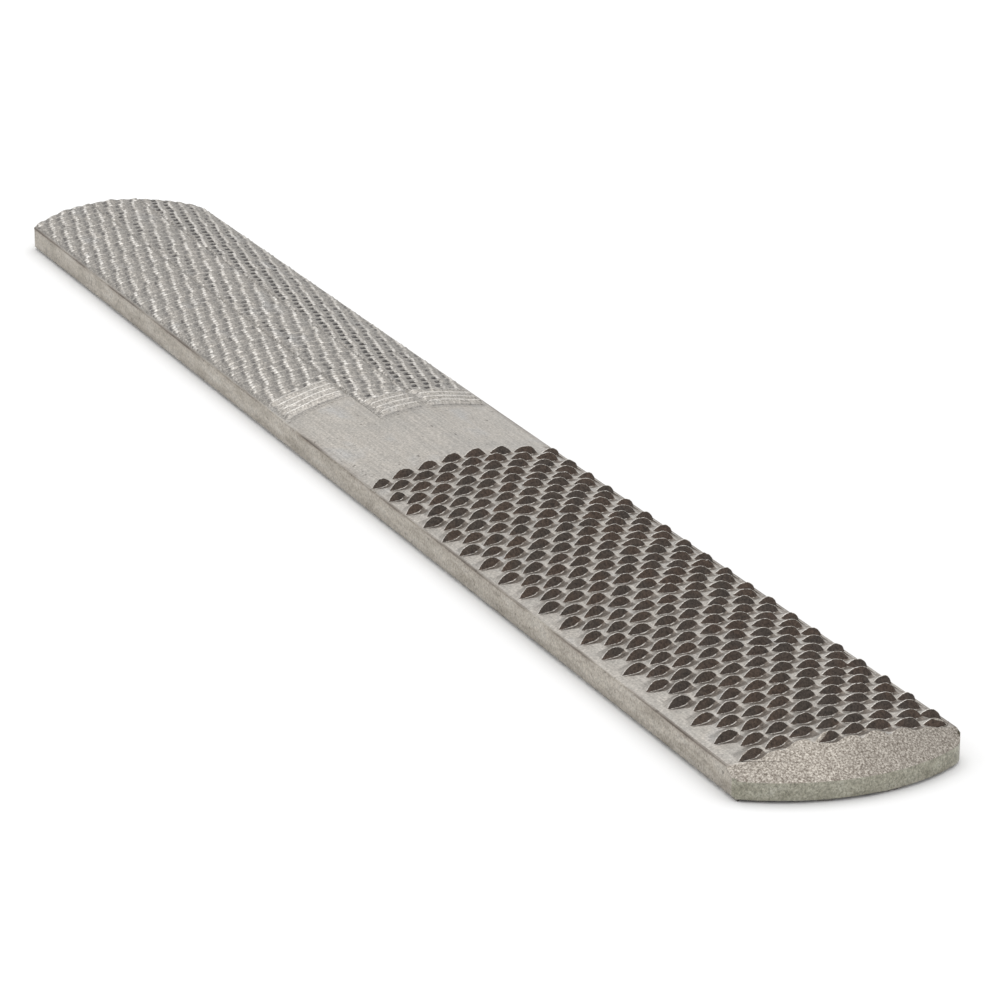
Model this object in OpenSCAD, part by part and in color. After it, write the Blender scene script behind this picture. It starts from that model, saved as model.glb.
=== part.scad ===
// Four-in-hand rasp: one forged and hardened steel bar, half round on top and
// flat below. One half of each face carries single punched rasp teeth, the
// other half carries double-cut file teeth. The long sides are plain.
//
// X runs along the bar, Y across it, Z up. The origin is under the middle of
// the bar, on the plane that the tooth tips of the flat face stand on.

/* [Bar] */
// Length over the bowed ends
bar_length = 200; // [150:1:260]
// Width over the plain sides
bar_width = 23; // [16:0.5:32]
// Height of each plain side
side_height = 2.45; // [2:0.05:5]
// Rise of the half-round face above the sides
crown_rise = 1.35; // [1:0.05:5]
// How far each end bows out past its corners
end_bow = 3.7; // [1:0.1:6]
// Broken edge between a side and a face
edge_break = 0.25; // [0.1:0.05:0.6]

/* [Ground end] */
// Thickness left at the rim of the ground end
rim_height = 1.65; // [1:0.05:2.4]
// Slope of the ground end in degrees
rim_slope = 33; // [15:1:45]

/* [Rasp teeth] */
// Where the rasp teeth start on the half-round face, from the middle
rasp_start = 13.8; // [8:0.1:20]
// Distance between teeth in one column
tooth_pitch = 4.49; // [3:0.01:6]
// Distance between columns of the same phase
column_pitch = 2.9; // [2:0.05:4]
// Height of a tooth tip above the face
tooth_height = 0.7; // [0.3:0.05:0.9]
// Width of a tooth at the face
tooth_width = 2.3; // [1.2:0.05:2.4]
// Depth of the punched pit in front of a tooth
pit_depth = 0.4; // [0.2:0.05:0.5]

/* [File teeth] */
// Distance along the bar between file teeth of the half-round face
file_pitch = 1.44; // [0.8:0.02:2]
// Distance along the bar between file teeth of the flat face
flat_file_pitch = 1.9; // [1:0.05:2.6]
// Height of a file tooth from root to tip
file_height = 0.42; // [0.2:0.02:0.6]
// Distance between the crossing grooves, square to them
cross_pitch = 1.57; // [0.8:0.01:2]
// Depth of the crossing grooves below the tips
cross_depth = 0.26; // [0.1:0.01:0.4]
// Angle of the crossing grooves from the length
cross_angle = 62; // [40:1:65]

/* [Hidden] */
$fn = 96;
half_l = bar_length / 2;
half_w = bar_width / 2;
// The flat face stands this far above the plane of its tooth tips
flat_z = 0.3;
side_top = flat_z + side_height;
crown_z = side_top + crown_rise;
crown_r = (half_w * half_w + crown_rise * crown_rise) / (2 * crown_rise);
axis_z = crown_z - crown_r;
end_r = (half_w * half_w + end_bow * end_bow) / (2 * end_bow);
end_x = half_l - end_r;
rim_z = flat_z + rim_height;
// Depth of the worked layer below each face
layer = 0.8;
// Arc distance from the middle line to the edge of the crown's toothed part
crown_edge = 11.4;
// Half width of the toothed part of the flat face
flat_edge = 11.2;
// Ends and flat seat of the half-round rasp teeth
rasp_x0 = 9;
rasp_x1 = 94.6;
rasp_seat = axis_z + (crown_r - layer) * cos(crown_edge / crown_r * 180 / PI);
// Angle on the crown of a point at arc distance v from the middle line
function crown_a(v) = v / crown_r * 180 / PI;
steel = [0.70, 0.69, 0.67];
cut_steel = [0.76, 0.76, 0.77];
dark_steel = [0.42, 0.39, 0.37];

// File courses on the half-round face: arc range, lean of the teeth, and
// where the course stops on the middle line of the course
course_v = [[-crown_edge, -2.8], [-2.8, 3.5], [3.5, crown_edge]];
course_lean = [17, 20, 6];
flat_lean = 17;
course_end = [-11.6, -4.9, -6.1];
// Height of the file tips above the face along the edges of a course
file_tip = 0.46;

// Outline of the bar seen from above, between the two bowed ends
module plan() {
    intersection() {
        square([bar_length + 10, bar_width], center = true);
        union() {
            square([2 * end_x, bar_width + 2], center = true);
            translate([end_x, 0])
                circle(r = end_r);
            translate([-end_x, 0])
                circle(r = end_r);
        }
    }
}

// Section of the bar with broken edges
module section() {
    b = edge_break;
    intersection() {
        translate([0, axis_z])
            circle(r = crown_r);
        polygon([
            [-half_w + b, flat_z],
            [half_w - b, flat_z],
            [half_w, flat_z + b],
            [half_w, side_top - b],
            [half_w - 1.6 * b, side_top + 2 * b],
            [half_w - 1.6 * b, crown_z + 1],
            [-half_w + 1.6 * b, crown_z + 1],
            [-half_w + 1.6 * b, side_top + 2 * b],
            [-half_w, side_top - b],
            [-half_w, flat_z + b]
        ]);
    }
}

// A section drawn in Y and Z, run along X from x0 to x1
module along(x0, x1) {
    translate([x0, 0, 0])
        rotate([90, 0, 90])
            linear_extrude(height = x1 - x0)
                children();
}

// Everything that was ground off the near end
module ground_off() {
    t = tan(rim_slope);
    translate([end_x, 0, 0])
        rotate([0, 0, -90])
            rotate_extrude(angle = 180)
                polygon([
                    [end_r - 8, rim_z + 8 * t],
                    [end_r + 2, rim_z - 2 * t],
                    [end_r + 2, crown_z + 4],
                    [end_r - 8, crown_z + 4]
                ]);
}

// Wedge of the crown between two arc positions, outside a given radius
module crown_wedge(v0, v1, r0, r1) {
    a0 = crown_a(v0);
    a1 = crown_a(v1);
    translate([0, axis_z])
        polygon([
            [r0 * sin(a0), r0 * cos(a0)],
            [r0 * sin(a1), r0 * cos(a1)],
            [r1 * sin(a1), r1 * cos(a1)],
            [r1 * sin(a0), r1 * cos(a0)]
        ]);
}

// Space that a file course takes, from its flat seat outwards
module course_space(k, reach) {
    v0 = course_v[k][0];
    v1 = course_v[k][1];
    vm = (v0 + v1) / 2;
    lean = course_lean[k];
    intersection() {
        along(-half_l - 1, 1)
            crown_wedge(v0, v1, crown_r - layer, crown_r + reach);
        translate([course_end[k], crown_r * sin(crown_a(vm)), 0])
            rotate([0, 0, lean])
                translate([-130, -50, 0])
                    cube([130, 100, 12]);
        linear_extrude(height = 12)
            plan();
    }
}

// Space that the rasp teeth take on the half-round face
module rasp_space() {
    y = crown_r * sin(crown_a(crown_edge));
    translate([rasp_x0, -y, rasp_seat])
        cube([rasp_x1 - rasp_x0, 2 * y, 12]);
}

// Saw-tooth bar: n teeth along X, tips at height 0, steep faces towards -X
module ridges(n, pitch, h, base, width) {
    pts = [for (i = [0:n - 1]) each [
        [i * pitch, -h],
        [i * pitch + 0.22 * pitch, 0],
        [i * pitch + 0.92 * pitch, -h]
    ]];
    rotate([90, 0, 0])
        linear_extrude(height = width, center = true)
            polygon(concat([[0, -base]], pts, [[n * pitch, -h], [n * pitch, -base]]));
}

// Comb of vee grooves along X, to be taken out of the ridges
module grooves(n, pitch, depth, width) {
    half = 0.36 * pitch;
    up = 0.12;
    pts = [for (i = [0:n - 1]) each [
        [i * pitch - half, up],
        [i * pitch, -depth],
        [i * pitch + half, up]
    ]];
    rotate([90, 0, 0])
        linear_extrude(height = width, center = true)
            polygon(concat([[-pitch, up]], pts, [[n * pitch, up], [n * pitch, 1.5], [-pitch, 1.5]]));
}

// Double-cut file teeth on a plane, tips at height 0, ending at x = 0
module double_cut(len, width, lean, base, stop, pitch) {
    sq = pitch * cos(lean);
    n = ceil((len * cos(lean) + width) / sq);
    m = ceil((len * sin(cross_angle) + width) / cross_pitch);
    difference() {
        rotate([0, 0, lean])
            translate([-n * sq, 0, 0])
                ridges(n, sq, file_height, base, 2 * (len * sin(lean) + width));
        translate([-stop, 0, 0])
            rotate([0, 0, cross_angle - 90])
                translate([-m * cross_pitch, 0, 0])
                    grooves(m, cross_pitch, cross_depth, 2 * (len * cos(cross_angle) + width));
    }
}

// One course of file teeth on the half-round face
module course(k) {
    v0 = course_v[k][0];
    v1 = course_v[k][1];
    am = crown_a((v0 + v1) / 2);
    da = crown_a((v1 - v0) / 2);
    tip = crown_r * cos(da) + file_tip;
    color(cut_steel)
        intersection() {
            course_space(k, 2);
            translate([course_end[k], 0, axis_z])
                rotate([-am, 0, 0])
                    translate([0, 0, tip])
                        double_cut(92, v1 - v0 + 1, course_lean[k], 2.2, 5.5, file_pitch);
        }
}

// Places across the face of the teeth in half row i, from the near edge. The
// columns drift a little away from that edge along the bar and close up
function row_spots(i, edge) = [
    for (k = [0:7 - i % 2])
        let (
            c = 0.04 * i - 10.5 + (k + (i % 2) / 2) * column_pitch * (1 - 0.0015 * i),
            reach = edge - tooth_width / 2 - 0.05
        )
            max(-reach, min(reach, c))
];

// How far a row sets back towards the near side
function row_slant(v) = v < 2 ? 0.19 * (2 - v) : 0;

// Tips and feet of half row i, as [along, across, height]
function crest_line(x, spots, edge, h) = let (w = tooth_width / 2) concat(
    [[x, -edge, 0]],
    [for (c = spots) each [
        [x, c - w, 0],
        [x, c - 0.6 * w, 0.74 * h],
        [x, c, h],
        [x, c + 0.6 * w, 0.74 * h],
        [x, c + w, 0]
    ]],
    [[x, edge, 0]]
);

// Bottoms of the pits in front of the same teeth
function pit_line(x, spots, edge, p) = let (w = tooth_width / 2) concat(
    [[x + 0.1, -edge, 0]],
    [for (c = spots) each [
        [x + 0.12, c - 0.95 * w, 0],
        [x + 0.3, c - 0.12 * w, -p],
        [x + 0.12, c + 0.95 * w, 0]
    ]],
    [[x + 0.1, edge, 0]]
);

// Index in a list of points of the last one that lies before v
function before(line, v) =
    max(0, len([for (q = line) if (q[1] < v - 0.0001) 1]) - 1);

function upto(line, v) =
    max(0, len([for (q = line) if (q[1] < v + 0.0001) 1]) - 1);

// Triangles between two lines of points that both run across the bar
function zip(p, q, ip, iq) = concat(
    [for (a = [0:len(p) - 2])
        [ip + a, ip + a + 1, iq + before(q, p[a + 1][1])]],
    [for (b = [0:len(q) - 2])
        [iq + b + 1, iq + b, ip + upto(p, q[b + 1][1])]]
);

// Toothed plate: a block with rasp teeth on top. r is the radius of its top,
// or 0 for a flat one, and the block is thick enough to reach down to seat
module toothed_plate(x0, x1, edge, rows, first, h, p, r, seat) {
    steps = [for (k = [-6:6]) edge * k / 6];
    mid = [for (i = [0:rows - 1]) each [
        crest_line(first + i * tooth_pitch / 2, row_spots(i, edge), edge, h),
        pit_line(first + i * tooth_pitch / 2, row_spots(i, edge), edge, p)
    ]];
    lines = concat(
        [[for (v = steps) [x0, v, 0]]],
        [[for (v = steps) [first - 1.6 + row_slant(v), v, 0]]],
        [for (l = mid) [for (q = l) [q[0] + row_slant(q[1]), q[1], q[2]]]],
        [[for (v = steps) [x1, v, 0]]]
    );
    n = len(lines);
    sizes = [for (l = lines) len(l)];
    starts = [for (i = 0, t = 0; i < n; t = t + sizes[i], i = i + 1) t];
    total = starts[n - 1] + sizes[n - 1];
    pts = [for (l = lines, q = l)
        r > 0
            ? [q[0], (r + q[2]) * sin(q[1] / r * 180 / PI), (r + q[2]) * cos(q[1] / r * 180 / PI) - r]
            : q];
    side = pts[0][1];
    low = [[x0, side, seat], [x0, -side, seat], [x1, -side, seat], [x1, side, seat]];
    far = [for (i = [0:n - 1]) starts[i] + sizes[i] - 1];
    last = starts[n - 1];
    polyhedron(
        concat(pts, low),
        concat(
            [for (i = [0:n - 2]) each zip(lines[i], lines[i + 1], starts[i], starts[i + 1])],
            [for (i = [0:n - 2]) [starts[i], starts[i + 1], total]],
            [for (i = [0:n - 2]) [far[i + 1], far[i], total + 2]],
            [for (i = [0:sizes[0] - 2]) [i + 1, i, total + 1]],
            [for (i = [0:sizes[n - 1] - 2]) [last + i, last + i + 1, total + 3]],
            [
                [last, total + 3, total],
                [0, total, total + 1],
                [far[0], total + 1, total + 2],
                [far[n - 1], total + 2, total + 3],
                [total, total + 3, total + 2, total + 1]
            ]
        ),
        convexity = 10
    );
}

module blank() {
    color(steel)
        difference() {
            intersection() {
                along(-half_l - 1, half_l + 1)
                    section();
                linear_extrude(height = 12)
                    plan();
            }
            ground_off();
            rasp_space();
            course_space(0, 3);
            course_space(1, 3);
            course_space(2, 3);
            flat_rasp_space(0);
            flat_file_space(0);
        }
}

// Space of the rasp plate of the flat face, down to height z
module flat_rasp_space(z) {
    translate([-95, -flat_edge, z])
        cube([95 - 9, 2 * flat_edge, flat_z + layer - z]);
}

// Space of the file plate of the flat face, down to height z
module flat_file_space(z) {
    intersection() {
        translate([5, 0, z])
            rotate([0, 0, -flat_lean])
                translate([0, -60, 0])
                    cube([140, 120, flat_z + layer - z]);
        translate([0, -flat_edge, z - 1])
            cube([110, 2 * flat_edge, 10]);
        translate([0, 0, -2])
            linear_extrude(height = 12)
                plan();
    }
}

module half_round_rasp_teeth() {
    color(dark_steel)
        translate([0, 0, crown_z])
            toothed_plate(rasp_x0, rasp_x1, crown_edge, 36, rasp_start - 2.4, tooth_height,
                pit_depth, crown_r, rasp_seat - crown_z);
}

module half_round_file_course_near() {
    course(0);
}

module half_round_file_course_middle() {
    course(1);
}

module half_round_file_course_far() {
    course(2);
}

module flat_rasp_teeth() {
    color(dark_steel)
        translate([0, 0, flat_z])
            rotate([0, 180, 0])
                toothed_plate(9, 95, flat_edge, 37, 11.4, flat_z, pit_depth, 0, -layer);
}

module flat_file_teeth() {
    color(cut_steel)
        intersection() {
            flat_file_space(-1);
            translate([5, 0, 0])
                rotate([0, 180, 0])
                    double_cut(99, 24, flat_lean, 1.5, 5.5, flat_file_pitch);
        }
}

blank();
half_round_rasp_teeth();
half_round_file_course_near();
half_round_file_course_middle();
half_round_file_course_far();
flat_rasp_teeth();
flat_file_teeth();
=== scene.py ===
"""Looks of the four-in-hand wood rasp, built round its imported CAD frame.

Lengths in this script are in millimetres, and MM turns them into metres when
a mesh is made. X runs along the bar, v is the distance across a face measured
on its surface, and h is the height above that face.
"""
import math
import bpy
import numpy as np
from mathutils import Matrix, Vector


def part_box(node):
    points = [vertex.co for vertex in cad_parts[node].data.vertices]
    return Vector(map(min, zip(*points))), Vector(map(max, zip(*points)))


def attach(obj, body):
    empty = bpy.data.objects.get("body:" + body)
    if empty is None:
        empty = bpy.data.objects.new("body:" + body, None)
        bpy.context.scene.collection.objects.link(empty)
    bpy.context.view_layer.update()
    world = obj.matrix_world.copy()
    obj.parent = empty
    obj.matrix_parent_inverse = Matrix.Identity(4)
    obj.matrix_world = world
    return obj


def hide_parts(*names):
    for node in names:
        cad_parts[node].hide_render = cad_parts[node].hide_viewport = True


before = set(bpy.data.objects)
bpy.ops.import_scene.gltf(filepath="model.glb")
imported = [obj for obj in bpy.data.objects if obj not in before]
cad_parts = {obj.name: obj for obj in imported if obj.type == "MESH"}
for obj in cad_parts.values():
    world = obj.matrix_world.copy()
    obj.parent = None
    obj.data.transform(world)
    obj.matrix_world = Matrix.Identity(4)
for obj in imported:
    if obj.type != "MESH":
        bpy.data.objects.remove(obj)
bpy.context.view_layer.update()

MM = 0.001
rng = np.random.default_rng(11)

# ---------------------------------------------------------------- the bar
bar_low, bar_high = (np.array(corner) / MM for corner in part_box("blank"))
HALF_L = bar_high[0]
HALF_W = bar_high[1]
FLAT_Z = bar_low[2]
CROWN_Z = bar_high[2]
SIDE_HEIGHT = 2.45
EDGE = 0.24  # rounding of the long edges
RISE = CROWN_Z - FLAT_Z - SIDE_HEIGHT
CROWN_R = (HALF_W ** 2 + RISE ** 2) / (2 * RISE)
AXIS_Z = CROWN_Z - CROWN_R
END_BOW = 3.7
END_R = (HALF_W ** 2 + END_BOW ** 2) / (2 * END_BOW)
END_X = HALF_L - END_R
# The near end: height of its ground rim, slope above it, and where the
# grinding wheel dug in deeper
RIM_Z = FLAT_Z + 1.65
RIM_SLOPE = math.tan(math.radians(33))
DUG_Y = -4.5
DUG_WIDTH = 2.6
DUG_SHARE = 0.26
# Rounding of the corners of both ends, by side
NEAR_CORNER = 0.4
FAR_CORNER = 1.4

# Worked areas: half width across each face, and where the plates start and
# stop along the bar. The bowed end stops the longest ones first
FACE_V = 11.3
RASP_START = 9.0
RASP_GAP = 2.2
CROWN_RASP_STOP = 98.0
CROWN_RASP_ROWS = 39
FLAT_RASP_STOP = 95.0
FLAT_RASP_ROWS = 37
FLAT_FILE_STOP = -5.0
FLAT_FILE_LEAN = -17
END_GAP = 0.04
# Depth of a plate's skirt and of the pocket under it, and the plate's height
# above the bar's surface, too small to see
PLATE_DROP = 0.45
POCKET = 0.7
LIFT = 0.006
# How far a pocket stays inside its plate, and the width of its wall
POCKET_INSET = 0.2
POCKET_WALL = 0.15

# Rasp teeth
TOOTH_PITCH = 4.49
COLUMN_PITCH = 2.96
COLUMN_DRIFT = 0.04
COLUMN_SHRINK = 0.0013
FIRST_COLUMN = -10.45
FIRST_ROW = 11.4
TOOTH_WIDTH = 2.55
TOOTH_HEIGHT = 0.66
TOOTH_BACK = 1.5
PIT_DEPTH = 0.24
PIT_LENGTH = 2.05
PIT_LEAN = 0.36
PIT_SLOPE = 0.13
# Width of the painted highlight along the foot of a cut face
HIGHLIGHT_BAND = 0.26
SCATTER = 0.06

# File courses of the half-round face: arc range, lean, end on the course's
# own middle line
COURSES = {
    "near": (-FACE_V, -2.8, 17, -11.6),
    "middle": (-2.8, 3.5, 20, -4.9),
    "far": (3.5, FACE_V, 6, -6.1),
}
FILE_PITCH = 1.44
FILE_HEIGHT = 0.40
FLAT_FILE_PITCH = 1.9
# Length of the last rows, which the second cut does not cross
WHOLE_ROWS = 5.0
# Crest and root of a file tooth, as shares of its pitch
CREST = 0.22
ROOT = 0.92
# Teeth per millimetre along the bar and across it, second cut then first
CELLS = {
    "near": (0.560, -0.22, 0.720, 0.41),
    "middle": (0.560, -0.34, 0.720, 0.27),
    "far": (0.574, -0.276, 0.716, 0.385),
    "flat": (0.562, -0.299, 0.526, -0.161),
}
# Bands of painted black shade in the gullets across each course: middle, half width, strength
SHADE_BANDS = {
    "near": [(-5.2, 2.0, 0.35), (-8.6, 1.2, 0.3)],
    "middle": [(-1.2, 1.2, 0.7), (1.0, 1.2, 0.25)],
    "far": [(5.6, 1.4, 2.8), (8.8, 1.0, 0.9)],
    "flat": [(0, 9, 0.4)],
}


def end_at(y):
    """Distance along X from the middle to a bowed end, at a place across."""
    corner = np.where(y > 0, FAR_CORNER, NEAR_CORNER)
    y = np.minimum(np.abs(y), HALF_W)
    bow = END_X + np.sqrt(END_R ** 2 - y ** 2)
    past = np.clip((y - HALF_W + corner) / corner, 0, 1)
    return bow - corner * (1 - np.sqrt(1 - past ** 2))


def on_crown(x, v, h):
    """Points at height h above the half-round face."""
    a = v / CROWN_R
    r = CROWN_R + h
    return np.stack([x, r * np.sin(a), AXIS_Z + r * np.cos(a)], -1)


def under_flat(x, v, h):
    """Points a distance h below the flat face."""
    return np.stack([x, v, FLAT_Z - h], -1)


def smooth(t):
    """Eases from 0 to 1 as t goes from 0 to 1."""
    t = np.clip(t, 0, 1)
    return t * t * (3 - 2 * t)


def cut_by_slope(points, lift=0.0):
    """Lowers points to the slope ground on the near end; returns where."""
    rho = np.hypot(points[..., 0] - END_X, points[..., 1])
    steep = RIM_SLOPE * (1 - DUG_SHARE * np.exp(-((points[..., 1] - DUG_Y) / DUG_WIDTH) ** 2))
    slope = RIM_Z + lift + (END_R - rho) * steep
    slope = np.where(points[..., 0] > END_X, slope, 99.0)
    cut = points[..., 2] >= slope
    points[..., 2] = np.minimum(points[..., 2], slope)
    return cut


# ---------------------------------------------------------------- meshes
def make_object(name, points, faces, fields, materials):
    """A smooth mesh object whose fields become attributes of its points."""
    mesh = bpy.data.meshes.new(name)
    mesh.vertices.add(len(points))
    mesh.vertices.foreach_set("co", (points * MM).astype(np.float32).ravel())
    mesh.loops.add(faces.size)
    mesh.loops.foreach_set("vertex_index", faces.astype(np.int32).ravel())
    mesh.polygons.add(len(faces))
    loop_start = np.arange(len(faces), dtype=np.int32) * faces.shape[1]
    mesh.polygons.foreach_set("loop_start", loop_start)
    mesh.update(calc_edges=True)
    mesh.validate()
    for key, values in fields.items():
        layer = mesh.attributes.new(key, "FLOAT", "POINT")
        layer.data.foreach_set("value", values.astype(np.float32).ravel())
    for material in materials:
        mesh.materials.append(material)
    mesh.shade_smooth()
    obj = bpy.data.objects.new(name, mesh)
    bpy.context.scene.collection.objects.link(obj)
    return obj


def grid_faces(nu, nv, flip=False):
    """Corner numbers of the faces between nu lines of nv points."""
    i, j = np.meshgrid(np.arange(nu - 1), np.arange(nv - 1), indexing="ij")
    a = (i * nv + j).ravel()
    quad = [a, a + nv, a + nv + 1, a + 1]
    if flip:
        quad = quad[::-1]
    return np.stack(quad, -1)


def drop_collapsed(points, faces):
    """Leaves out faces that have shrunk to nothing."""
    p = points[faces]
    area = np.linalg.norm(np.cross(p[:, 2] - p[:, 0], p[:, 3] - p[:, 1]), axis=1)
    return faces[area > 1e-6]


def grid_object(name, points, fields, materials):
    """An object made of one grid of points."""
    nu, nv = points.shape[:2]
    flat = points.reshape(-1, 3)
    faces = drop_collapsed(flat, grid_faces(nu, nv))
    return make_object(name, flat, faces, fields, materials)


def with_skirt(x, v, h, fields, drop):
    """Adds short walls round a plate, on their own copy of its outer lines."""
    x = np.pad(x, 2, mode="edge")
    v = np.pad(v, 2, mode="edge")
    h = np.pad(h, 2, mode="edge")
    fields = {key: np.pad(value, 2, mode="edge") for key, value in fields.items()}
    for line in (np.s_[0, :], np.s_[-1, :], np.s_[:, 0], np.s_[:, -1]):
        h[line] = -drop
    return x, v, h, fields


# ---------------------------------------------------------------- rasp teeth
def row_slant(v):
    """Shift of a row of rasp teeth along the bar, which is straight past v = 2."""
    return np.where(v < 2, 0.19 * (2 - v), 0.0)


def row_spots(i):
    """Places across the face of the teeth in half row i."""
    count = 8 - i % 2
    pitch = COLUMN_PITCH * (1 - COLUMN_SHRINK * i)
    spots = FIRST_COLUMN + COLUMN_DRIFT * i + (np.arange(count) + (i % 2) / 2) * pitch
    return np.clip(spots, -FACE_V + 0.95, FACE_V - 1.0)


def tooth_crest(a, tall):
    """Height of a burr across its width, highest towards the far side."""
    skew = a - 0.12 * (1 - a ** 2)
    knots = rng.normal(0, 0.045, 9)
    rough = 1 + np.interp(a, np.linspace(-1, 1, 9), knots)
    return tall * np.clip(1 - np.abs(skew) ** 2.1, 0, 1) ** 0.9 * rough


def pit_rim(a):
    """Distance of a pit's rim in front of its tooth, for a place across."""
    near = np.clip((a + 1) / 1.2, 0, 1) ** 0.66
    far = np.clip((1 - a) / 0.8, 0, 1) ** 0.6
    return PIT_LENGTH * np.minimum(near, far) + 0.02


def punch(u, v, h, tone, row, spot, height):
    """Adds one punched tooth: a steep faced burr with its pit in front."""
    w = TOOTH_WIDTH / 2 * rng.uniform(0.96, 1.05)
    row = row + rng.normal(0, SCATTER)
    spot = spot + rng.normal(0, SCATTER)
    w = min(w, FACE_V - abs(spot) + 0.05)
    tall = min(height, height * rng.uniform(0.86, 1.08))
    deep = PIT_DEPTH * rng.uniform(0.9, 1.12)
    turn = rng.normal(0, 0.05)
    # The lines of the grid that the burr and its pit can reach
    i0, i1 = np.searchsorted(u, (row - 1.7, row + 2.7))
    j0, j1 = np.searchsorted(v, (spot - 1.45, spot + 2.0))
    q = v[None, j0:j1] - spot
    a = q / w
    on = np.abs(a) < 1
    s = u[i0:i1, None] - row - 0.16 * a ** 2 + turn * q
    crest = tooth_crest(a, tall) * on
    # The pit leans towards the far side as it runs forward
    lean = (q - PIT_LEAN * np.clip(s - 0.2, 0, None)) / w
    rim = pit_rim(lean)
    foot = np.minimum(0.10 + 0.40 * (1 - a ** 2), 0.6 * rim)
    depth = np.minimum(deep * np.clip(1 - lean ** 2, 0, 1) ** 0.6, PIT_SLOPE * (rim - foot))
    face = (s > 0) & (s < foot) & on
    pit = (s >= foot) & (s < rim) & (np.abs(lean) < 1)
    down = np.clip(s / np.maximum(foot, 0.02), 0, 1)
    up = np.clip((s - foot) / np.maximum(rim - foot, 0.02), 0, 1)
    back = crest * np.clip(1 + s / TOOTH_BACK, 0, 1) ** 1.3
    part = h[i0:i1, j0:j1]
    part += np.where((s <= 0) & on, back, 0)
    part += np.where(face, crest * (1 - down) - depth * down, 0)
    part -= np.where(pit, depth * (1 - up), 0)
    # Tones: 1 dark cut face, its own blued colour with painted shade, 0.5 brown ramp, 0 plain, -1
    # painted highlight
    t = tone[i0:i1, j0:j1]
    # Painted shade on the near side of the pit; the far side is brown like the ramp
    shaded_near_side = lean < 0.1 - 0.5 * up
    t[pit] = np.where(shaded_near_side, 0.8, 0.60)[pit]
    # Painted highlight along the rim of the pit
    rim_highlight = (np.abs(s - rim) < 0.05) & (lean > -0.1) & (lean < 1) & (rim > 0.3)
    t[rim_highlight] = -0.35
    # The cut face: its own dark blued colour, darkened further as painted shade
    t[face] = 1.0
    # Painted highlight along the foot of the cut face, where a rounded lip would catch the light, with
    # a painted shadow line beyond it
    highlight_band = HIGHLIGHT_BAND * np.clip((a + 1) * (0.65 - a), 0, None) ** 0.5
    shadow_line = (s > foot + highlight_band) & (s < foot + highlight_band + HIGHLIGHT_BAND / 2) & (a > -0.93) & (a < 0.35)
    t[shadow_line] = 0.95
    foot_highlight = (s > foot) & (s < foot + highlight_band) & on
    t[foot_highlight] = -0.7 * rng.uniform(0.6, 1.1)
    # Painted highlight along the crest of the burr
    crest_highlight = (s > -0.06) & (s < 0.012) & (crest > 0.12 * tall)
    t[crest_highlight] = -0.8


def row_place(i):
    """Distance of half row i along the bar, where the row is straight."""
    return FIRST_ROW + i * TOOTH_PITCH / 2


def toothed_grid(stop, rows):
    """Grid lines along X, crowded where the steep faces of the rows stand."""
    lines = [np.arange(RASP_START, FIRST_ROW - 0.4, 0.12)]
    for i in range(rows):
        x0 = row_place(i) - 0.25
        x1 = x0 + TOOTH_PITCH / 2
        lines.append(np.arange(x0, x0 + 0.95, 0.035))
        lines.append(np.arange(x0 + 0.96, x1 - 0.02, 0.08))
    lines = np.concatenate(lines)
    return np.append(lines[lines < stop - 0.05], stop)


def rasp_field(stop, rows, height):
    """Places, heights and tones of a face of punched teeth up to stop."""
    u = toothed_grid(stop, rows)
    v = np.linspace(-FACE_V, FACE_V, 245)
    h = np.zeros((len(u), len(v)))
    tone = np.zeros_like(h)
    for i in range(rows):
        for spot in row_spots(i):
            punch(u, v, h, tone, row_place(i), spot, height)
    h *= smooth((FACE_V - np.abs(v)) / 0.12)[None, :]
    h = np.minimum(h, height)
    # The strip outside the last column on the far side is brown as well
    brown = 0.42 * smooth((np.abs(v)[None, :] - FACE_V + 1.0) / 0.5) * (v[None, :] > 0)
    tone = np.where(tone == 0, brown, tone)
    x = u[:, None] + row_slant(v)[None, :]
    return x, np.broadcast_to(v, h.shape), h, tone


# ---------------------------------------------------------------- file teeth
def saw(phase):
    """A file tooth's side view: a short steep face and a long back."""
    return np.where(phase < CREST, phase / CREST, np.clip((ROOT - phase) / (ROOT - CREST), 0, 1))


def pick(i, j):
    """A random number that stays the same over each cell of a grid."""
    rows, columns = 211, 97
    table = rng.uniform(size=(rows, columns))
    return table[i.astype(int) % rows, j.astype(int) % columns]


def whole_tone(phase, fleck):
    """Painted highlight on the crest and painted shade at the root of teeth the second cut does not
    reach.
    """
    tone = np.where((phase > 0.78) & (phase < 0.95), 0.40, 0.08)
    return np.where((phase > 0.16) & (phase < 0.30), -0.35 - 0.35 * fleck, tone)


def broken_tone(part, side, fleck, black):
    """Painted highlights on thin ridges beside painted shade in the roots, and painted black shade in
    the pits of crossed teeth.
    """
    gap = np.abs(side)
    shade = 0.09 + np.clip((gap - 0.34) / 0.07, 0, 1) * (0.12 + 0.46 * fleck)
    shade = shade + np.where(part > 0.8, 0.12 * fleck, 0)
    pit = (part > 0.45) & (part < 0.98) & (gap > 0.27)
    tone = np.where(pit, np.maximum(shade, black), shade)
    # Painted highlights on the ridges
    bright = (side > 0.10) & (side < 0.30) & (part > 0.06) & (part < 0.80)
    return np.where(bright, -0.06 - 0.48 * fleck, tone)


def file_lines(stop, pitch):
    """Grid lines along X, crowded round the crest of each row of file teeth."""
    climb = (0, 0.06, 0.13, 0.19)
    fall = (CREST, 0.27, 0.34, 0.44, 0.54, 0.64, 0.74, 0.84, ROOT, 0.96)
    count = int((HALF_L + stop + 8) / pitch) + 1
    u = stop - pitch * (np.arange(count)[:, None] + 1) + pitch * np.array(climb + fall)[None, :]
    return np.append(np.sort(u.ravel()), [stop, stop + 0.5])


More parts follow.
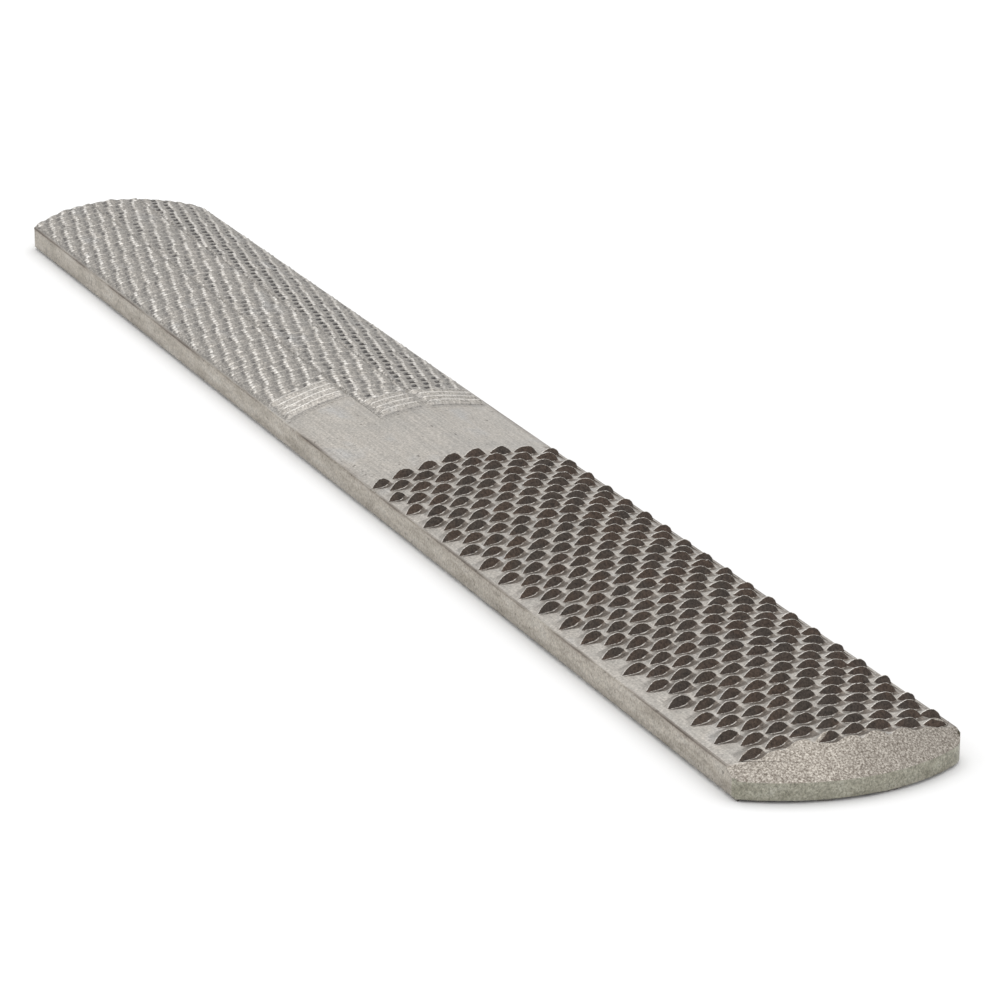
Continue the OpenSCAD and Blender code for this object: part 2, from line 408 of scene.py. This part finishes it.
def file_field(v0, v1, lean, stop, far_x, pitch, shade_bands, cell):
    """Double-cut teeth on a leaning grid. far_x gives the bar's end at v."""
    slope = math.tan(math.radians(lean))
    u = file_lines(stop, pitch)[:, None]
    v = np.linspace(v0, v1, int((v1 - v0) / 0.1) + 1)[None, :]
    wave = 0.10 * np.sin(u * 0.37 + 1.3 * lean) * np.sin(v * 0.9 + 0.4 * lean)
    x = u - (v - (v0 + v1) / 2) * slope + wave
    phase = np.mod((u - stop) / pitch, 1.0)
    whole = np.where(u > stop - 0.001, 0, saw(phase))
    # Where the second cut crosses the first, both run askew of the last rows
    over_x, over_v, up_x, up_v = cell
    rank = x * up_x + v * up_v + 0.05 * np.sin(x * 0.9)
    row = np.floor(rank)
    part = rank - row
    waver = 0.06 * np.sin(row * 2.1) + 0.20 * np.sin(2 * math.pi * part)
    across = x * over_x + v * over_v + waver
    column = np.floor(across)
    chance = pick(row, column)
    fleck = pick(row, v / 0.43)
    side = across - column - 0.5
    notch = np.clip((np.abs(side) - 0.12) / 0.38, 0, 1)
    live = smooth((stop - WHOLE_ROWS - u - 0.15 * np.sin(v * 3)) / 1.2)
    edge = smooth(np.minimum(v - v0, v1 - v) / (0.15 + 0.7 * (1 - live)))
    crossed = (0.42 * saw(part) + 0.42 * (1 - notch)) * (1 - 0.15 * chance)
    h = FILE_HEIGHT * (whole * (1 - live) + crossed * live) * edge
    # Painted shade: black gullets in bands across the course
    band = sum(k * np.exp(-((v - m) / w) ** 2) for m, w, k in shade_bands)
    black = np.clip(band * (0.55 + 0.9 * chance), 0, 1)
    broken = broken_tone(part, side, fleck, black)
    tone = np.where(live > 0.5, broken, whole_tone(phase, fleck))
    tone = tone * edge + rng.normal(0, 0.12, tone.shape) * (tone > -0.3)
    x = np.maximum(x, -far_x(v))
    h = h * smooth((x + far_x(v)) / 0.3)
    cut = smooth((stop - u) / 0.8) * np.ones_like(v)
    return x, np.broadcast_to(v, h.shape), h, {"tone": tone, "cut": cut}


# ---------------------------------------------------------------- materials
class Graph:
    """Short ways to add and join shader nodes."""

    def __init__(self, name):
        self.material = bpy.data.materials.new(name)
        self.material.use_nodes = True
        self.tree = self.material.node_tree
        self.tree.nodes.clear()

    def add(self, kind, inputs=(), **settings):
        """A new node with its settings and its inputs, values or sockets."""
        node = self.tree.nodes.new(kind)
        for key, value in settings.items():
            setattr(node, key, value)
        for key, value in dict(inputs).items():
            self.put(node.inputs[key], value)
        return node

    def put(self, socket, value):
        if isinstance(value, bpy.types.NodeSocket):
            self.tree.links.new(value, socket)
        else:
            socket.default_value = value

    def math(self, op, a, b=0.0):
        return self.add("ShaderNodeMath", {0: a, 1: b}, operation=op).outputs[0]

    def ramp(self, factor, stops):
        """A color ramp through stops of (place, color)."""
        node = self.add("ShaderNodeValToRGB", {0: factor})
        band = node.color_ramp
        while len(band.elements) < len(stops):
            band.elements.new(0.5)
        for element, (place, color) in zip(band.elements, stops):
            element.position = place
            element.color = (*color, 1)
        return node.outputs[0]

    def spread(self, value, low, high, to_low=0.0, to_high=1.0):
        """Maps low to to_low and high to to_high, and holds beyond them."""
        node = self.add("ShaderNodeMapRange", {0: value, 1: low, 2: high, 3: to_low, 4: to_high})
        return node.outputs[0]

    def mix(self, factor, a, b, blend="MIX"):
        node = self.add("ShaderNodeMix", data_type="RGBA", blend_type=blend)
        self.put(node.inputs[0], factor)
        for place, color in ((6, a), (7, b)):
            plain = not isinstance(color, bpy.types.NodeSocket)
            self.put(node.inputs[place], (*color, 1) if plain else color)
        return node.outputs[2]

    def place(self, scale):
        """Object coordinates in millimetres times a scale for each axis."""
        coord = self.add("ShaderNodeTexCoord").outputs["Object"]
        size = [k / MM for k in scale]
        return self.add("ShaderNodeMapping", {"Vector": coord, "Scale": size}).outputs[0]

    def noise(self, scale, detail=3.0, rough=0.5):
        node = self.add("ShaderNodeTexNoise", {"Vector": self.place(scale), "Scale": 1.0,
                                               "Detail": detail, "Roughness": rough})
        return node.outputs[0]

    def field(self, name):
        """A value that the mesh carries at its points."""
        return self.add("ShaderNodeAttribute", attribute_name=name).outputs["Fac"]

    def finish(self, color, rough, bump, metallic, strength):
        """Joins the steel's shader to the output and returns the material."""
        depth = 0.05 * MM
        normal = self.add("ShaderNodeBump", {"Height": bump, "Strength": strength, "Distance": depth})
        shader = self.add("ShaderNodeBsdfPrincipled", {
            "Base Color": color, "Roughness": rough, "Metallic": metallic, "Normal": normal.outputs[0]})
        out = self.add("ShaderNodeOutputMaterial")
        self.tree.links.new(shader.outputs[0], out.inputs[0])
        return self.material


def gray(g, value):
    """A color with the same value in all three channels."""
    return g.add("ShaderNodeCombineColor", {0: value, 1: value, 2: value}).outputs[0]


def plain_steel_color(g):
    """Warm grey ground steel with faint mottling and lengthwise draw marks."""
    mottle = g.noise((0.16, 0.28, 0.28), 4, 0.55)
    warm = g.ramp(mottle, [(0.3, (0.425, 0.405, 0.375)), (0.55, (0.475, 0.445, 0.405)),
                           (0.75, (0.455, 0.445, 0.430))])
    streak = g.spread(g.noise((0.05, 5.0, 5.0), 4, 0.6), 0.35, 0.7, 0.86, 1.09)
    grain = g.spread(g.noise((4.0, 4.0, 4.0), 3, 0.65), 0.3, 0.7, 0.72, 1.30)
    return g.mix(1.0, warm, gray(g, g.math("MULTIPLY", streak, grain)), "MULTIPLY")


def blasted_color(g):
    """Salt and pepper of the blasted slope on the near end."""
    speck = g.noise((5.2, 5.2, 5.2), 2, 0.7)
    return g.ramp(speck, [(0.32, (0.16, 0.135, 0.11)), (0.5, (0.33, 0.30, 0.265)),
                          (0.68, (0.60, 0.56, 0.50))])


def side_color(g, height):
    """Duller sides with brown specks, with painted shade darkening them towards the lower edge."""
    cloud = g.noise((0.22, 0.9, 0.9), 4, 0.6)
    base = g.ramp(cloud, [(0.3, (0.33, 0.30, 0.255)), (0.55, (0.44, 0.405, 0.355)),
                          (0.75, (0.50, 0.475, 0.43))])
    grain = g.spread(g.noise((5.0, 5.0, 5.0), 3, 0.75), 0.30, 0.70, 0.58, 1.36)
    # Painted shade: darker towards the lower edge
    low = g.spread(height, FLAT_Z, FLAT_Z + 1.2, 0.86, 1.0)
    return g.mix(1.0, base, gray(g, g.math("MULTIPLY", grain, low)), "MULTIPLY")


def cap_color(g):
    """Olive grey of the sawn and tumbled end faces."""
    cloud = g.noise((0.5, 0.5, 0.9), 4, 0.6)
    base = g.ramp(cloud, [(0.3, (0.26, 0.25, 0.20)), (0.6, (0.36, 0.35, 0.29)),
                          (0.75, (0.43, 0.42, 0.37))])
    grain = g.spread(g.noise((4.6, 4.6, 4.6), 3, 0.75), 0.30, 0.70, 0.52, 1.42)
    return g.mix(1.0, base, gray(g, grain), "MULTIPLY")


def bar_steel():
    """The bar: bright plain faces, dull sides, olive ends, a blasted slope."""
    g = Graph("ground_steel")
    plain = plain_steel_color(g)
    spot = g.add("ShaderNodeSeparateXYZ", {0: g.place((1, 1, 1))})
    height = spot.outputs[2]
    plain = g.mix(g.field("side"), plain, side_color(g, height))
    # Patchy dark line and brown streak along the upper edges of the sides
    outward = g.spread(g.math("ABSOLUTE", spot.outputs[1]), HALF_W - 0.9, HALF_W - 0.3)
    gap = g.math("ABSOLUTE", g.math("SUBTRACT", height, FLAT_Z + SIDE_HEIGHT))
    patchy = g.spread(g.noise((0.10, 1.2, 1.2), 4, 0.6), 0.36, 0.62)
    edge_streak = g.math("MULTIPLY", g.spread(gap, 0.0, 0.45, 1.0, 0.0), outward)
    edge_streak = g.math("MULTIPLY", edge_streak, patchy)
    plain = g.mix(g.math("MULTIPLY", edge_streak, 0.55), plain, (0.20, 0.155, 0.125))
    line = g.math("MULTIPLY", g.spread(gap, 0.02, 0.09, 0.75, 0.0), outward)
    line = g.math("MULTIPLY", line, patchy)
    plain = g.mix(line, plain, (0.075, 0.062, 0.052))
    # Sparse dark pits left by forging
    pits = g.spread(g.noise((1.6, 1.6, 1.6), 2, 0.5), 0.68, 0.73)
    plain = g.mix(g.math("MULTIPLY", pits, 0.6), plain, (0.085, 0.07, 0.06))
    plain = g.mix(g.field("cap"), plain, cap_color(g))
    blast = g.field("ground")
    color = g.mix(blast, plain, blasted_color(g))
    rough = g.math("ADD", g.spread(g.noise((0.5, 2.5, 2.5), 3, 0.5), 0.3, 0.7, 0.38, 0.52),
                   g.math("MULTIPLY", blast, 0.08))
    fine = g.noise((0.35, 7.0, 7.0), 3, 0.6)
    coarse = g.noise((5.0, 5.0, 5.0), 3, 0.6)
    bump = g.math("ADD", g.math("MULTIPLY", fine, 0.35),
                  g.math("MULTIPLY", coarse, g.spread(blast, 0, 1, 0.5, 2.0)))
    return g.finish(color, rough, bump, metallic=1.0, strength=0.35)


def toothed_steel(name, cut_light, dark, ramp_tone, streaky):
    """Steel of a toothed face, painted by the tone that its teeth carry, which holds painted shade and
    painted highlights.
    """
    g = Graph(name)
    tone = g.field("tone")
    plain = plain_steel_color(g)
    speck = g.spread(g.noise((3.2, 3.2, 3.2), 4, 0.75), 0.32, 0.68, 0.55 * cut_light, 1.45 * cut_light)
    worn = g.mix(1.0, plain, gray(g, speck), "MULTIPLY")
    plain = g.mix(g.field("cut"), plain, worn)
    grit = g.spread(g.noise((3.8, 3.8, 3.8), 3, 0.75), 0.30, 0.70, 0.45, 1.55)
    hue = g.noise((0.35, 0.35, 0.35), 2, 0.5)
    warm_dark = tuple(c * k for c, k in zip(dark, (1.22, 1.07, 0.98)))
    dark_color = g.ramp(hue, [(0.38, dark), (0.62, warm_dark)])
    dark_color = g.mix(1.0, dark_color, gray(g, grit), "MULTIPLY")
    ramp_color = g.mix(1.0, ramp_tone, gray(g, grit), "MULTIPLY")
    color = g.mix(g.spread(tone, 0.0, 0.5), plain, ramp_color)
    # Dark cut faces, together with painted shade
    color = g.mix(g.spread(tone, 0.55, 0.95), color, dark_color)
    # Painted highlight where the tone is below zero
    color = g.mix(g.spread(tone, 0.0, -0.8), color, (0.76, 0.735, 0.70))
    blast = g.field("ground")
    color = g.mix(blast, color, blasted_color(g))
    rough = g.math("ADD", g.spread(tone, 0.0, 0.9, 0.40, 0.55), g.math("MULTIPLY", blast, 0.1))
    fine = g.noise((3.0, 7.0, 7.0) if streaky else (6.0, 6.0, 6.0), 3, 0.6)
    bump = g.math("MULTIPLY", fine, g.spread(blast, 0, 1, 1.0, 1.8))
    metal = g.spread(tone, 0.3, 1.0, 1.0, 0.6)
    return g.finish(color, rough, bump, metallic=metal, strength=0.4)


def floor_paper():
    """Matt white paper, nearly even."""
    g = Graph("floor_paper")
    tint = g.spread(g.noise((0.02, 0.02, 0.02), 3, 0.5), 0.3, 0.7, 0.93, 0.95)
    color = gray(g, tint)
    shader = g.add("ShaderNodeBsdfPrincipled", {
        "Base Color": color, "Roughness": 0.9, "Specular IOR Level": 0.1})
    out = g.add("ShaderNodeOutputMaterial")
    g.tree.links.new(shader.outputs[0], out.inputs[0])
    return g.material


# ---------------------------------------------------------------- pieces
def place_piece(obj, node):
    """Hangs an object under the root body and hides the CAD node that it stands for."""
    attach(obj, "root")
    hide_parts(node)
    return obj


def build_rasp_crown(material):
    """Punched teeth of the half-round face, ground away at the near end."""
    x, v, h, tone = rasp_field(CROWN_RASP_STOP, CROWN_RASP_ROWS, TOOTH_HEIGHT)
    y = CROWN_R * np.sin(v / CROWN_R)
    x = np.minimum(x, end_at(y) - RASP_GAP)
    x, v, h, fields = with_skirt(x, v, h + LIFT, {"tone": tone}, PLATE_DROP)
    points = on_crown(x, v, h)
    cut = cut_by_slope(points, LIFT)
    fields["ground"] = cut * 1.0
    fields["tone"] = np.where(cut, 0, fields["tone"])
    obj = grid_object("half_round_rasp_plate", points, fields, [material])
    return place_piece(obj, "half_round_rasp_teeth")


def crown_end(v):
    """Where the file teeth of the half-round face end, at v."""
    return end_at(CROWN_R * np.sin(v / CROWN_R)) - END_GAP


def flat_end(v):
    """The same for the flat face."""
    return end_at(v) - END_GAP


def build_file_course(key, material):
    """One lengthwise course of file teeth on the half-round face."""
    v0, v1, lean, stop = COURSES[key]
    x, v, h, fields = file_field(v0, v1, lean, stop, crown_end, FILE_PITCH, SHADE_BANDS[key], CELLS[key])
    h = h * smooth((FACE_V + 0.02 - np.abs(v)) / 0.3) + LIFT
    x, v, h, fields = with_skirt(x, v, h, fields, PLATE_DROP)
    obj = grid_object(f"half_round_file_{key}", on_crown(x, v, h), fields, [material])
    return place_piece(obj, f"half_round_file_course_{key}")


def build_flat_rasp(material):
    """Punched teeth of the flat face, under the half-round face's file teeth."""
    x, v, h, tone = rasp_field(FLAT_RASP_STOP, FLAT_RASP_ROWS, FLAT_Z)
    x = np.minimum(x, FLAT_RASP_STOP)
    x, v, h, fields = with_skirt(x, v, h + LIFT, {"tone": tone}, PLATE_DROP)
    points = under_flat(-x, v, np.minimum(h, FLAT_Z))
    obj = grid_object("flat_rasp_plate", points, fields, [material])
    return place_piece(obj, "flat_rasp_teeth")


def build_flat_file(material):
    """File teeth of the flat face, under the half-round face's rasp teeth."""
    x, v, h, fields = file_field(-FACE_V, FACE_V, FLAT_FILE_LEAN, FLAT_FILE_STOP, flat_end,
                                 FLAT_FILE_PITCH, SHADE_BANDS["flat"], CELLS["flat"])
    x, v, h, fields = with_skirt(x, v, h + LIFT, fields, PLATE_DROP)
    points = under_flat(-x, v, np.minimum(h, FLAT_Z))
    obj = grid_object("flat_file_plate", points, fields, [material])
    return place_piece(obj, "flat_file_teeth")


def crown_pocket(x, v):
    """1 where a toothed plate covers the bar's crown, 0 where the bar shows."""
    end = end_at(CROWN_R * np.sin(v / CROWN_R))
    inner = FACE_V - POCKET_INSET - np.abs(v)
    first = x - row_slant(v) - RASP_START - POCKET_INSET
    last = end - RASP_GAP - POCKET_INSET - x
    best = np.minimum.reduce([first, last, inner])
    for v0, v1, lean, stop in COURSES.values():
        slope = math.tan(math.radians(lean))
        u = x + (v - (v0 + v1) / 2) * slope
        between = np.minimum(v - v0, v1 - v) - 0.03
        inside = np.minimum.reduce([stop + POCKET_INSET - u, between, inner, x + end - 0.3])
        best = np.maximum(best, inside)
    return smooth(best / POCKET_WALL)


def flat_pocket(x, y):
    """The same for the flat face."""
    inner = FACE_V - POCKET_INSET - np.abs(y)
    first = -x - row_slant(y) - RASP_START - POCKET_INSET
    rasp = np.minimum.reduce([first, FLAT_RASP_STOP - POCKET_INSET + x, inner])
    u = -x + y * math.tan(math.radians(FLAT_FILE_LEAN))
    files = np.minimum.reduce([FLAT_FILE_STOP + POCKET_INSET - u, inner, end_at(y) - 0.3 - x])
    return smooth(np.maximum(rasp, files) / POCKET_WALL)


def side_profile():
    """One side from the crown down to the flat, as (y, z), with rounded edges."""
    z_high = AXIS_Z + math.sqrt(CROWN_R ** 2 - (HALF_W - EDGE) ** 2)
    z_knee = z_high - EDGE * 0.75
    z_foot = FLAT_Z + EDGE * 0.8
    turn = np.linspace(0, math.pi / 2, 6)[1:]
    z_turn = z_knee + (z_high - z_knee) * np.cos(turn)
    high = np.stack([HALF_W - EDGE + EDGE * np.sin(turn), z_turn], -1)
    flat = np.stack([np.full(8, HALF_W), np.linspace(z_knee, z_foot, 9)[1:]], -1)
    low = np.stack([HALF_W - EDGE + EDGE * np.cos(turn), z_foot - EDGE * 0.8 * np.sin(turn)], -1)
    return np.concatenate([high, flat, low])


def stations(y):
    """Lengthwise places of the bar's rings. Near the ends they follow the bow."""
    straight = 85.0
    fine_from = HALF_L - 8
    coarse = np.arange(-HALF_L, fine_from, 0.4)
    fine = np.arange(fine_from, HALF_L - 0.05, 0.16)
    s = np.concatenate([coarse, fine, [HALF_L]])[:, None]
    reach = (end_at(y) - straight) / (HALF_L - straight)
    past = np.maximum(np.abs(s) - straight, 0)
    return np.sign(s) * (np.minimum(np.abs(s), straight) + past * reach)


def end_walls(ring, n_top, n_side):
    """Faces that close one end, from its outline down to the flat face."""
    way = np.sign(ring[0, 0])
    upper = ring[:n_top]
    lower = np.stack([way * end_at(upper[:, 1]), upper[:, 1], np.full(n_top, FLAT_Z)], -1)
    k = np.linspace(0, 1, 7)[None, :, None]
    yield upper[:, None] * (1 - k) + lower[:, None] * k, way < 0
    for sign, part in ((1, ring[n_top:n_top + n_side]), (-1, ring[:-n_side - 1:-1])):
        corner_y = sign * (HALF_W - EDGE)
        corner_x = way * end_at(corner_y)
        inner = np.stack([np.full(n_side, corner_x), np.full(n_side, corner_y), part[:, 2]], -1)
        yield np.stack([part, inner], 1), (way < 0) == (sign > 0)


def bar_rings():
    """Rings of points round the bar, and how many lie on its crown and a side."""
    v_side = CROWN_R * math.asin((HALF_W - EDGE) / CROWN_R)
    # Places across the crown, closer together near the rounded edges
    v = np.linspace(-1, 1, 161)
    v = v_side * (0.55 * v + 0.45 * np.sin(v * math.pi / 2))
    top_y = CROWN_R * np.sin(v / CROWN_R)
    top_z = AXIS_Z + CROWN_R * np.cos(v / CROWN_R)
    side = side_profile()
    n_top, n_side = len(v), len(side)
    bottom_y = np.linspace(HALF_W - EDGE, EDGE - HALF_W, 100)[1:-1]
    bottom_z = np.full(len(bottom_y), FLAT_Z)
    ring_y = np.concatenate([top_y, side[:, 0], bottom_y, -side[::-1, 0]])
    ring_z = np.concatenate([top_z, side[:, 1], bottom_z, side[::-1, 1]])
    x = stations(ring_y[None, :])
    y = np.broadcast_to(ring_y, x.shape)
    z = np.broadcast_to(ring_z, x.shape).copy()
    top = np.s_[:, :n_top]
    low = np.s_[:, n_top + n_side:n_top + n_side + len(bottom_y)]
    z[top] -= POCKET * crown_pocket(x[top], np.broadcast_to(v, x[top].shape))
    z[low] += POCKET * flat_pocket(x[low], y[low])
    return np.stack([x, y, z], -1), n_top, n_side


def closed(rings):
    """Repeats the first point of each ring after its last."""
    return np.concatenate([rings, rings[:, :1]], 1)


def build_bar(material):
    """The bar itself: its rings of points and the walls that close its ends."""
    points, n_top, n_side = bar_rings()
    ground = cut_by_slope(points) * 1.0
    aside = np.clip((np.abs(points[..., 1]) - HALF_W + EDGE) / (EDGE * 0.6), 0, 1)
    shells = [(closed(points), False)]
    shells += [*end_walls(points[0], n_top, n_side), *end_walls(points[-1], n_top, n_side)]
    marks = {"ground": [closed(ground).ravel()], "side": [closed(aside).ravel()]}
    marks["cap"] = [np.zeros(marks["side"][0].size)]
    for shell, _ in shells[1:]:
        for key, value in (("ground", 0.0), ("side", 0.0), ("cap", 1.0)):
            marks[key].append(np.full(shell[..., 0].size, value))
    all_points, all_faces, start = [], [], 0
    for shell, flip in shells:
        flat = shell.reshape(-1, 3)
        faces = grid_faces(shell.shape[0], shell.shape[1], flip)
        all_faces.append(drop_collapsed(flat, faces) + start)
        all_points.append(flat)
        start += len(flat)
    fields = {key: np.concatenate(parts) for key, parts in marks.items()}
    points, faces = np.concatenate(all_points), np.concatenate(all_faces)
    obj = make_object("bar", points, faces, fields, [material])
    obj.data.set_sharp_from_angle(angle=math.radians(35))
    return place_piece(obj, "blank")


# ---------------------------------------------------------------- the scene
# The photo's view, fitted to the bar's edges and ends, in degrees and mm
CAMERA_TURN = 65.734
CAMERA_LIFT = 19.111
CAMERA_ROLL = 0.242
CAMERA_AIM = (15.5, 2.62, 0.1)
CAMERA_AWAY = 441.34
CAMERA_LENS = 152.13
CAMERA_SENSOR = 36


def build_camera():
    """Looks along the bar from its rasp end, over its near side."""
    turn, lift, roll = map(math.radians, (CAMERA_TURN, CAMERA_LIFT, CAMERA_ROLL))
    flat = math.cos(lift)
    back = Vector((math.sin(turn) * flat, -math.cos(turn) * flat, math.sin(lift)))
    level = Vector((math.cos(turn), math.sin(turn), 0))
    upright = back.cross(level)
    right = level * math.cos(roll) + upright * math.sin(roll)
    up = upright * math.cos(roll) - level * math.sin(roll)
    data = bpy.data.cameras.new("camera")
    data.lens = CAMERA_LENS
    data.sensor_width = CAMERA_SENSOR
    data.clip_start = 0.01
    camera = bpy.data.objects.new("camera", data)
    bpy.context.scene.collection.objects.link(camera)
    pose = Matrix((right, up, back)).transposed().to_4x4()
    pose.translation = (Vector(CAMERA_AIM) + back * CAMERA_AWAY) * MM
    camera.matrix_world = pose
    bpy.context.scene.camera = camera


def soft_light(name, place, size, power):
    """An area light that points at the middle of the bar, in metres."""
    data = bpy.data.lights.new(name, "AREA")
    data.shape = "RECTANGLE"
    data.size, data.size_y = size
    data.energy = power
    light = bpy.data.objects.new(name, data)
    bpy.context.scene.collection.objects.link(light)
    light.location = place
    light.rotation_euler = (-Vector(place)).to_track_quat("-Z", "Y").to_euler()


def build_studio():
    """White surroundings, a white floor and two soft lights."""
    scene = bpy.context.scene
    scene.view_settings.view_transform = "Standard"
    world = bpy.data.worlds.new("studio")
    world.use_nodes = True
    background = world.node_tree.nodes["Background"]
    background.inputs["Color"].default_value = (1, 1, 1, 1)
    background.inputs["Strength"].default_value = 0.9
    scene.world = world
    mesh = bpy.data.meshes.new("floor")
    k = 3.0  # half the floor's width in metres
    mesh.from_pydata([(-k, -k, 0), (k, -k, 0), (k, k, 0), (-k, k, 0)], [], [(0, 1, 2, 3)])
    mesh.materials.append(floor_paper())
    floor = bpy.data.objects.new("floor", mesh)
    scene.collection.objects.link(floor)
    soft_light("overhead", (-0.25, 0.15, 0.9), (0.9, 0.9), 3.0)
    soft_light("from_left", (-0.5, -0.9, 0.55), (0.6, 0.5), 1.0)


build_camera()
bar_material = bar_steel()
rasp_material = toothed_steel("rasp_cut_steel", 1.0, (0.068, 0.055, 0.046),
                              (0.225, 0.195, 0.168), False)
file_material = toothed_steel("file_cut_steel", 0.78, (0.03, 0.028, 0.027),
                              (0.20, 0.19, 0.18), True)
build_bar(bar_material)
build_rasp_crown(rasp_material)
for course in COURSES:
    build_file_course(course, file_material)
build_flat_rasp(rasp_material)
build_flat_file(file_material)
build_studio()
